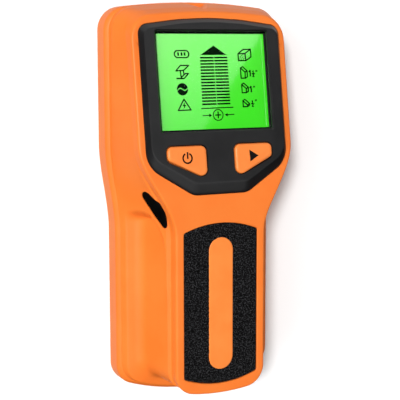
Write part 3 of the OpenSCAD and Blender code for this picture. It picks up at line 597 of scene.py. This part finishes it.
charge = [[(x - 0.36, 58.95), (x + 0.36, 58.95), (x + 0.36, 60.3), (x - 0.36, 60.3)] for x in (-14.75, -13.25, -11.85)]
pole = [[(-10.3, 60.35), (-9.75, 59.95), (-9.75, 59.3), (-10.3, 58.9)]]
cells = strokes("display_battery_symbol", [(arc(-15.0, 59.62, 1.45, 250, 110, 14)
                                            + arc(-11.4, 59.62, 1.45, 90, -90, 14) + [(-15.5, 58.2)], LINE)],
                W0, W1, areas=charge + pole)
beam = strokes("display_beam_symbol", [
    ([(-14.08, 54.99), (-10.4, 54.96), (-12.8, 52.95), (-16.26, 52.8), (-14.08, 54.99)], LINE),
    ([(-14.3, 52.8), (-14.05, 49.8)], LINE), ([(-12.9, 52.9), (-12.8, 51.3)], LINE),
    ([(-16.1, 49.72), (-12.75, 49.68), (-10.7, 51.65), (-12.1, 51.67), (-13.75, 50.3)], LINE),
    ([(-15.9, 49.55), (-12.9, 49.5)], 0.3)], W0, W1)
ax, av, ar = -13.87, 45.25, 2.5
wave = [(-2.35, -0.6), (-1.7, 0.15), (-1.0, 0.45), (-0.3, 0.25), (0.4, -0.25), (1.1, -0.45), (1.7, -0.2),
        (2.3, 0.35)]
upper, lower = arc(0, 0, ar, 12, 180, 28), arc(0, 0, ar, 198, 360, 27)
mains = strokes("display_mains_symbol", [], W0, W1,
                areas=[move(upper + [(x, y + 0.22) for x, y in wave], ax, av),
                       move(lower + [(x, y - 0.22) for x, y in reversed(wave)], ax, av)])
bolt = [(-13.15, 40.0), (-14.35, 38.35), (-13.55, 38.4), (-13.85, 37.15), (-12.65, 38.85), (-13.4, 38.8)]
volt = strokes("display_voltage_symbol", [([(-13.5, 41.2), (-10.6, 36.75), (-16.35, 36.68), (-13.5, 41.2)], LINE)],
               W0, W1, areas=[bolt])
wood = strokes("display_wood_symbol", [
    ([(12.79, 59.6), (15.24, 61.4), (18.77, 61.5), (18.86, 58.32), (16.3, 56.72), (12.75, 56.72), (12.79, 59.6),
      (16.1, 59.75), (18.77, 61.5)], LINE), ([(16.1, 59.75), (16.3, 56.72)], LINE),
    (arc(16.1, 56.8, 1.1, 180, 90, 10), 0.2), (arc(16.1, 56.8, 1.9, 178, 92, 12), 0.2),
    (arc(16.1, 56.8, 2.7, 178, 95, 12), 0.2)], W0, W1)


def block(x, top, h):
    """A wooden stud of height h in outline, with its upper left corner at x, top."""
    foot = top - 2.3 - h
    return [([(x, top - 0.55), (x + 0.95, top), (x + 3.05, top - 1.75), (x + 3.0, top - 1.75 - h), (x + 1.9, foot),
              (x, foot), (x, top - 0.55), (x + 2.05, top - 2.3), (x + 3.05, top - 1.75)], LINE),
            ([(x + 2.05, top - 2.3), (x + 1.95, foot)], LINE)]


def one(x, v):
    return [([(x - 0.55, v + 0.65), (x, v + 1.15), (x, v - 1.15)], 0.58)]


def half_mark(x, v):
    return [([(x - 0.2, v + 0.75), (x + 0.05, v + 1.15), (x + 0.05, v + 0.2)], 0.42),
            ([(x - 0.6, v), (x + 0.8, v)], 0.34),
            ([(x - 0.3, v - 0.35), (x + 0.1, v - 0.2), (x + 0.35, v - 0.5), (x - 0.3, v - 1.25),
              (x + 0.45, v - 1.25)], 0.36)]


def inch(x, v):
    return [([(x - 0.18, v + 0.28), (x - 0.22, v - 0.25)], 0.32),
            ([(x + 0.3, v + 0.3), (x + 0.26, v - 0.22)], 0.32)]


depths = strokes("display_depth_symbols",
                 block(13.5, 54.2, 2.5) + one(17.95, 51.4) + half_mark(19.35, 51.3) + inch(20.95, 52.3)
                 + block(13.55, 47.3, 1.7) + one(17.9, 44.7) + inch(19.3, 45.7)
                 + block(13.6, 40.5, 0.75) + half_mark(18.1, 38.75) + inch(19.75, 40.0), W0, W1)

mask = prism("display_mask", box_outline(-26.6, 26.6, 25.1, 69.8, 0.4), W0, W1, on_front)
boolean(mask, prism("lit", box_outline(-24.1, 25.3, 28.6, 67.9, 0.3), W0 - 1, W1 + 1, on_front))

# ---------- materials ----------


def srgb(*c):
    """Linear colour of an 8-bit screen colour."""
    parts = [v / 255 for v in c]
    return tuple(v / 12.92 if v <= 0.04045 else ((v + 0.055) / 1.055) ** 2.4 for v in parts) + (1.0,)


def node_material(name):
    """A new material, its nodes and its links."""
    mat = bpy.data.materials.new(name)
    mat.use_nodes = True
    return mat, mat.node_tree.nodes, mat.node_tree.links


def math_node(nodes, links, operation, a, b):
    """Output of a two-number node. Each input is a number or an output to link."""
    node = nodes.new("ShaderNodeMath")
    node.operation = operation
    for socket, value in zip(node.inputs, (a, b)):
        if isinstance(value, float):
            socket.default_value = value
        else:
            links.new(value, socket)
    return node.outputs["Value"]


def range_node(nodes, links, value, source=(0.0, 1.0), target=(0.0, 1.0)):
    """Output of a node that maps the source range of the value to the target range."""
    node = nodes.new("ShaderNodeMapRange")
    node.inputs["From Min"].default_value, node.inputs["From Max"].default_value = source
    node.inputs["To Min"].default_value, node.inputs["To Max"].default_value = target
    links.new(value, node.inputs["Value"])
    return node.outputs["Result"]


def ramp_node(nodes, links, value, *stops):
    """Output of a colour ramp with two (position, colour) stops."""
    node = nodes.new("ShaderNodeValToRGB")
    for element, (position, colour) in zip(node.color_ramp.elements, stops):
        element.position, element.color = position, colour
    links.new(value, node.inputs["Fac"])
    return node.outputs["Color"]


def noise_node(nodes, links, coord, scale, detail=2.0):
    """Value of a noise over the object's own coordinates."""
    node = nodes.new("ShaderNodeTexNoise")
    node.inputs["Scale"].default_value, node.inputs["Detail"].default_value = scale, detail
    links.new(coord.outputs["Object"], node.inputs["Vector"])
    return node.outputs["Fac"]


def bump_node(nodes, links, height, strength):
    node = nodes.new("ShaderNodeBump")
    node.inputs["Strength"].default_value = strength
    node.inputs["Distance"].default_value = 0.1 * MM
    links.new(height, node.inputs["Height"])
    return node.outputs["Normal"]


def material(name, a, b, size=6.0, rough=(0.38, 0.5), bump=0.05, bump_size=0.25, specular=0.5, metallic=0.0,
             contrast=(0.35, 0.65)):
    """Moulded surface: two close colours mixed by soft noise, varied roughness, and a fine grain. Sizes in mm."""
    mat, nodes, links = node_material(name)
    shader = nodes["Principled BSDF"]
    coord = nodes.new("ShaderNodeTexCoord")
    soft = noise_node(nodes, links, coord, 1 / (size * MM), 3)
    fine = noise_node(nodes, links, coord, 1 / (bump_size * MM))
    links.new(ramp_node(nodes, links, soft, (contrast[0], a), (contrast[1], b)), shader.inputs["Base Color"])
    links.new(range_node(nodes, links, soft, target=rough), shader.inputs["Roughness"])
    links.new(bump_node(nodes, links, fine, bump), shader.inputs["Normal"])
    shader.inputs["Specular IOR Level"].default_value = specular
    shader.inputs["Metallic"].default_value = metallic
    return mat


orange = material("orange_moulding", srgb(244, 122, 42), srgb(245, 128, 48), 18, (0.42, 0.5), 0.05, 0.3, 0.3)
orange_cap = material("orange_cap", srgb(248, 132, 56), srgb(249, 138, 62), 9, (0.34, 0.42), 0.06, 0.3, 0.35)
orange_plate = material("orange_label", srgb(249, 134, 54), srgb(250, 140, 60), 9, (0.36, 0.44), 0.04, 0.3, 0.3)
black = material("black_moulding", srgb(20, 20, 21), srgb(26, 26, 27), 10, (0.26, 0.34), 0.06, 0.25, 0.38)
insert_black = material("black_insert", srgb(4, 4, 4), srgb(8, 8, 8), 5, (0.6, 0.7), 0.08, 0.3, 0.02)
ink = material("black_ink", srgb(6, 6, 7), srgb(11, 11, 12), 2, (0.5, 0.6), 0.02, 0.2, 0.1)
lcd_ink = material("display_ink", srgb(4, 22, 6), srgb(7, 28, 9), 2, (0.6, 0.7), 0.01, 0.2, 0.02)
# the pad is near black, with lighter flecks mixed in by fine noise; the flecks are painted highlights on its grain
grip = material("black_grip", srgb(2, 2, 2), srgb(60, 60, 62), 0.55, (0.4, 0.6), 0.35, 0.3, 0.04,
                contrast=(0.48, 0.68))
board = material("green_board", srgb(18, 92, 48), srgb(28, 112, 58), 4, (0.3, 0.45), 0.05, 0.4)
package = material("black_package", srgb(26, 26, 28), srgb(36, 36, 38), 2, (0.45, 0.6), 0.1, 0.15)
sleeve = material("dark_sleeve", srgb(40, 42, 80), srgb(52, 54, 96), 3, (0.25, 0.35), 0.02, 0.5)
white = material("white_plastic", srgb(226, 226, 220), srgb(236, 236, 230), 5, (0.4, 0.5), 0.05, 0.3)
diffuser = material("pale_diffuser", srgb(190, 240, 180), srgb(205, 250, 195), 8, (0.3, 0.4), 0.02, 0.5)
rubber = material("grey_rubber", srgb(60, 60, 66), srgb(74, 74, 80), 2, (0.6, 0.75), 0.1, 0.2)
steel = material("plated_steel", srgb(170, 172, 176), srgb(196, 198, 202), 1.5, (0.22, 0.36), 0.06, 0.12, 0.5, 1.0)
copper = material("copper_wire", srgb(196, 112, 62), srgb(216, 132, 78), 0.8, (0.28, 0.4), 0.3, 0.12, 0.5, 1.0)
ribbon = material("grey_ribbon", srgb(150, 152, 158), srgb(170, 172, 176), 2, (0.4, 0.5), 0.05, 0.3)
can = material("battery_sleeve", srgb(150, 152, 158), srgb(172, 174, 180), 6, (0.25, 0.35), 0.03, 0.3, 0.5, 0.7)
vinyl = material("black_vinyl", srgb(24, 24, 25), srgb(34, 34, 35), 3, (0.5, 0.65), 0.15, 0.3)
red_wire = material("red_insulation", srgb(190, 26, 22), srgb(206, 36, 30), 2, (0.3, 0.4), 0.03, 0.3)
black_wire = material("black_insulation", srgb(18, 18, 18), srgb(28, 28, 28), 2, (0.3, 0.4), 0.03, 0.3)


def display_material():
    """Lit display with a painted reflection: paler green towards the upper left, fuller green towards the lower right,
    with a smooth surface.
    """
    green = srgb(80, 236, 56)
    mat = material("green_display", green, green, 14, (0.04, 0.05), 0.0, 0.4, 1.0)
    nodes, links = mat.node_tree.nodes, mat.node_tree.links
    shader = nodes["Principled BSDF"]
    split = nodes.new("ShaderNodeSeparateXYZ")
    links.new(nodes.new("ShaderNodeTexCoord").outputs["Object"], split.inputs["Vector"])
    # painted reflection: the display's colour is paler towards the upper left and fades to a fuller green at the lower
    # right
    across = range_node(nodes, links, split.outputs["X"], (-26 * MM, 26 * MM))
    down = range_node(nodes, links, split.outputs["Y"], (72 * MM, 30 * MM))
    painted_reflection_fade = math_node(nodes, links, "MULTIPLY", math_node(nodes, links, "ADD", across, down), 0.5)
    colour = ramp_node(nodes, links, painted_reflection_fade, (0.1, srgb(100, 238, 72)), (0.8, srgb(62, 226, 34)))
    links.new(colour, shader.inputs["Base Color"])
    links.new(colour, shader.inputs["Emission Color"])
    shader.inputs["Emission Strength"].default_value = 0.05
    return mat


def mixed_material(name, a, b):
    """A material that mixes two shaders: the material, its nodes, its links, the second shader and its share."""
    mat, nodes, links = node_material(name)
    nodes.clear()
    out = nodes.new("ShaderNodeOutputMaterial")
    mix = nodes.new("ShaderNodeMixShader")
    first, second = nodes.new(a), nodes.new(b)
    links.new(first.outputs["BSDF"], mix.inputs[1])
    links.new(second.outputs["BSDF"], mix.inputs[2])
    links.new(mix.outputs["Shader"], out.inputs["Surface"])
    return mat, nodes, links, second, mix.inputs[0]


def window_material():
    """Thin clear lens with an anti-glare coat: light passes straight through, and little is reflected by Fresnel."""
    mat, nodes, links, gloss, share = mixed_material("clear_window", "ShaderNodeBsdfTransparent",
                                                     "ShaderNodeBsdfGlossy")
    fresnel = nodes.new("ShaderNodeFresnel")
    fresnel.inputs["IOR"].default_value = 1.05
    links.new(fresnel.outputs["Fac"], share)
    wave = noise_node(nodes, links, nodes.new("ShaderNodeTexCoord"), 60)
    links.new(bump_node(nodes, links, wave, 0.02), gloss.inputs["Normal"])
    gloss.inputs["Roughness"].default_value = 0.03
    return mat


display_green = display_material()
window = window_material()

# ---------- pieces on their bodies ----------


def piece(obj, mat, body, slot, *replaced):
    """Gives a visible piece its material and body, and hides the CAD nodes that it replaces. The slot argument is not
    used.
    """
    obj.data.materials.clear()
    obj.data.materials.append(mat)
    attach(obj, body)
    if replaced:
        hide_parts(*replaced)


piece(front, orange, "housing", "orange_shell", "front_shell")
piece(rear, orange, "housing", "orange_shell", "rear_shell")
piece(bezel, black, "housing", "black_bezel", "display_bezel")
piece(caps["mode_button"], orange_cap, "mode_button", "orange_button", "mode_button")
piece(caps["power_button"], orange_cap, "power_button", "orange_button", "power_button")
for name, insert in inserts.items():
    piece(insert, insert_black, "housing", "black_insert", name)
piece(power, ink, "power_button", "black_package")
piece(play, ink, "mode_button", "black_package")
piece(pad, grip, "housing", "black_grip", "grip_pad")
piece(label, orange_plate, "housing", "orange_label", "label_plate")
for symbol in (level, target, cells, beam, mains, volt, wood, depths):
    piece(symbol, lcd_ink, "housing", "green_display")
piece(mask, ink, "housing", "black_package")

# CAD nodes that stay visible, with their materials
CAD_LOOKS = {
    "display_window": window, "lcd_glass": display_green, "lcd_frame": white, "lcd_backlight": diffuser,
    "zebra_strip": rubber, "main_board": board, "controller_chip": package, "storage_capacitor": sleeve,
    "buzzer": package, "power_switch_body": package, "power_switch_plunger": white, "mode_switch_body": package,
    "mode_switch_plunger": white, "sense_board": board, "sense_electrodes": copper, "coil_bobbin": white,
    "coil_winding": copper, "ribbon_cable": ribbon, "battery_door": orange, "battery_can": can,
    "battery_studs": steel, "battery_snap": vinyl, "lead_red": red_wire, "lead_black": black_wire,
    "case_screws": steel, "board_screws": steel}
# widths of the rounded edges
BEVELS = {"display_window": 0.15, "battery_door": 0.3, "battery_can": 0.5, "battery_snap": 0.4, "main_board": 0.1,
          "sense_board": 0.1, "case_screws": 0.12}
for name, look in CAD_LOOKS.items():
    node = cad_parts[name]
    node.data.materials.clear()
    node.data.materials.append(look)
    weld = node.modifiers.new("weld", "WELD")
    weld.merge_threshold = 1e-6
    if name in BEVELS:
        edge = node.modifiers.new("edge", "BEVEL")
        edge.width, edge.segments = BEVELS[name] * MM, 2
        edge.limit_method, edge.angle_limit = "ANGLE", math.radians(40)

# ---------- floor, light and camera ----------


def floor_material():
    """White, with the object's shadow, for the camera above it, and clear from beneath and for all other rays."""
    mat, nodes, links, plain, share = mixed_material("floor", "ShaderNodeBsdfTransparent", "ShaderNodeBsdfDiffuse")
    plain.inputs["Color"].default_value = (1.08, 1.08, 1.08, 1)
    seen = nodes.new("ShaderNodeLightPath").outputs["Is Camera Ray"]
    front_side = math_node(nodes, links, "SUBTRACT", 1.0, nodes.new("ShaderNodeNewGeometry").outputs["Backfacing"])
    links.new(math_node(nodes, links, "MULTIPLY", seen, front_side), share)
    return mat


FLOOR_HALF, FLOOR_Z = 6, -0.0003  # metres
floor_mesh = bpy.data.meshes.new("floor")
floor_mesh.from_pydata([(x * FLOOR_HALF, y * FLOOR_HALF, FLOOR_Z) for x, y in ((-1, -1), (1, -1), (1, 1), (-1, 1))],
                       [], [(0, 1, 2, 3)])
floor = linked("floor", floor_mesh)
floor_mesh.materials.append(floor_material())

# the world: white for the camera and in reflections, and a faint fill for the rest
FILL = 0.16
world = bpy.data.worlds.new("studio")
bpy.context.scene.world = world
world.use_nodes = True
wn, wl = world.node_tree.nodes, world.node_tree.links
path = wn.new("ShaderNodeLightPath").outputs
seen = math_node(wn, wl, "MAXIMUM", path["Is Camera Ray"], path["Is Glossy Ray"])
seen = math_node(wn, wl, "MAXIMUM", seen, path["Is Transmission Ray"])
background = wn["Background"]
wl.new(range_node(wn, wl, seen, target=(FILL, 1.0)), background.inputs["Strength"])
background.inputs["Color"].default_value = (1, 1, 1, 1)


def sun(name, energy, angle, direction, glossy=True):
    """A sun with its apparent angle in degrees. Without glossy, reflections don't see it."""
    light = bpy.data.lights.new(name, "SUN")
    light.energy, light.angle = energy, math.radians(angle)
    obj = linked(name, light)
    obj.rotation_mode = "QUATERNION"
    obj.rotation_quaternion = Vector(direction).to_track_quat("-Z", "Y")
    obj.visible_glossy = glossy


sun("key", 2.3, 10, (0.66, -0.28, -1.0))
sun("top", 0.22, 60, (0.05, 0.05, -1.0))
sun("left", 1.5, 50, (1.0, -0.1, -0.5), glossy=False)
sun("under", 1.7, 60, (0.1, 0.1, 1.0), glossy=False)
sun("right", 0.7, 60, (-1.0, 0.1, -0.2), glossy=False)


def card(name, corners, centre, facing, strengths):
    """A flat studio card that only reflections see, with its strengths at the lowest and the highest corner.

    Corners are in millimetres in its own plane, the centre is in metres.
    """
    mat, nodes, links = node_material(name)
    nodes.clear()
    out = nodes.new("ShaderNodeOutputMaterial")
    glow = nodes.new("ShaderNodeEmission")
    split = nodes.new("ShaderNodeSeparateXYZ")
    ys = [c[1] * MM for c in corners]
    links.new(nodes.new("ShaderNodeTexCoord").outputs["Object"], split.inputs["Vector"])
    links.new(range_node(nodes, links, split.outputs["Y"], (min(ys), max(ys)), strengths), glow.inputs["Strength"])
    links.new(glow.outputs["Emission"], out.inputs["Surface"])
    mesh = bpy.data.meshes.new(name)
    mesh.from_pydata([(x * MM, y * MM, 0) for x, y in corners], [], [tuple(range(len(corners)))])
    mesh.materials.append(mat)
    obj = linked(name, mesh)
    z = Vector(facing).normalized()
    x = Vector((0, 1, 0)).cross(z).normalized() if abs(z.y) < 0.9 else Vector((1, 0, 0))
    obj.matrix_world = Matrix.Translation(centre) @ Matrix((x, z.cross(x), z)).transposed().to_4x4()
    obj.visible_camera = obj.visible_diffuse = obj.visible_shadow = obj.visible_transmission = False


def sheet(x0, x1, y0, y1):
    return [(x0, y0), (x1, y0), (x1, y1), (x0, y1)]


# a soft box that the display reflects, a dark flag behind it, and three more round the table
TO_DISPLAY = (-0.4556, -0.2376, -0.8579)
card("soft_box", [(-76, 75), (47, -77), (95, -77), (95, 75)], (0.2769, 0.1950, 0.5443), TO_DISPLAY, (0.5, 2.3))
card("flag_behind", sheet(-180, 180, -160, 160), (0.2860, 0.1998, 0.5615), TO_DISPLAY, (0.1, 0.1))
card("flag_left", sheet(-900, 900, -900, 900), (-0.7, 0, 0), (1, 0, 0), (0, 0))
card("flag_foot", sheet(-900, 900, -900, 900), (0, -0.7, 0), (0, 1, 0), (0, 0))
card("flag_right", sheet(-900, 900, -900, 300), (0.7, 0, 0), (-1, 0, 0), (0, 0))

# the photograph's view
camera_data = bpy.data.cameras.new("camera")
camera_data.lens, camera_data.sensor_width = 99.0, 36.0
camera_data.clip_start, camera_data.clip_end = 0.01, 20
camera = linked("camera", camera_data)
turn = Matrix(((0.89895886, 0.06198437, -0.43362531), (-0.00161808, 0.99040053, 0.13821788),
               (0.43803009, -0.12355055, 0.89042962)))
camera.matrix_world = Matrix.Translation((-0.204369, 0.065334, 0.435549)) @ turn.to_4x4()
bpy.context.scene.camera = camera

bpy.context.scene.view_settings.view_transform = "Standard"
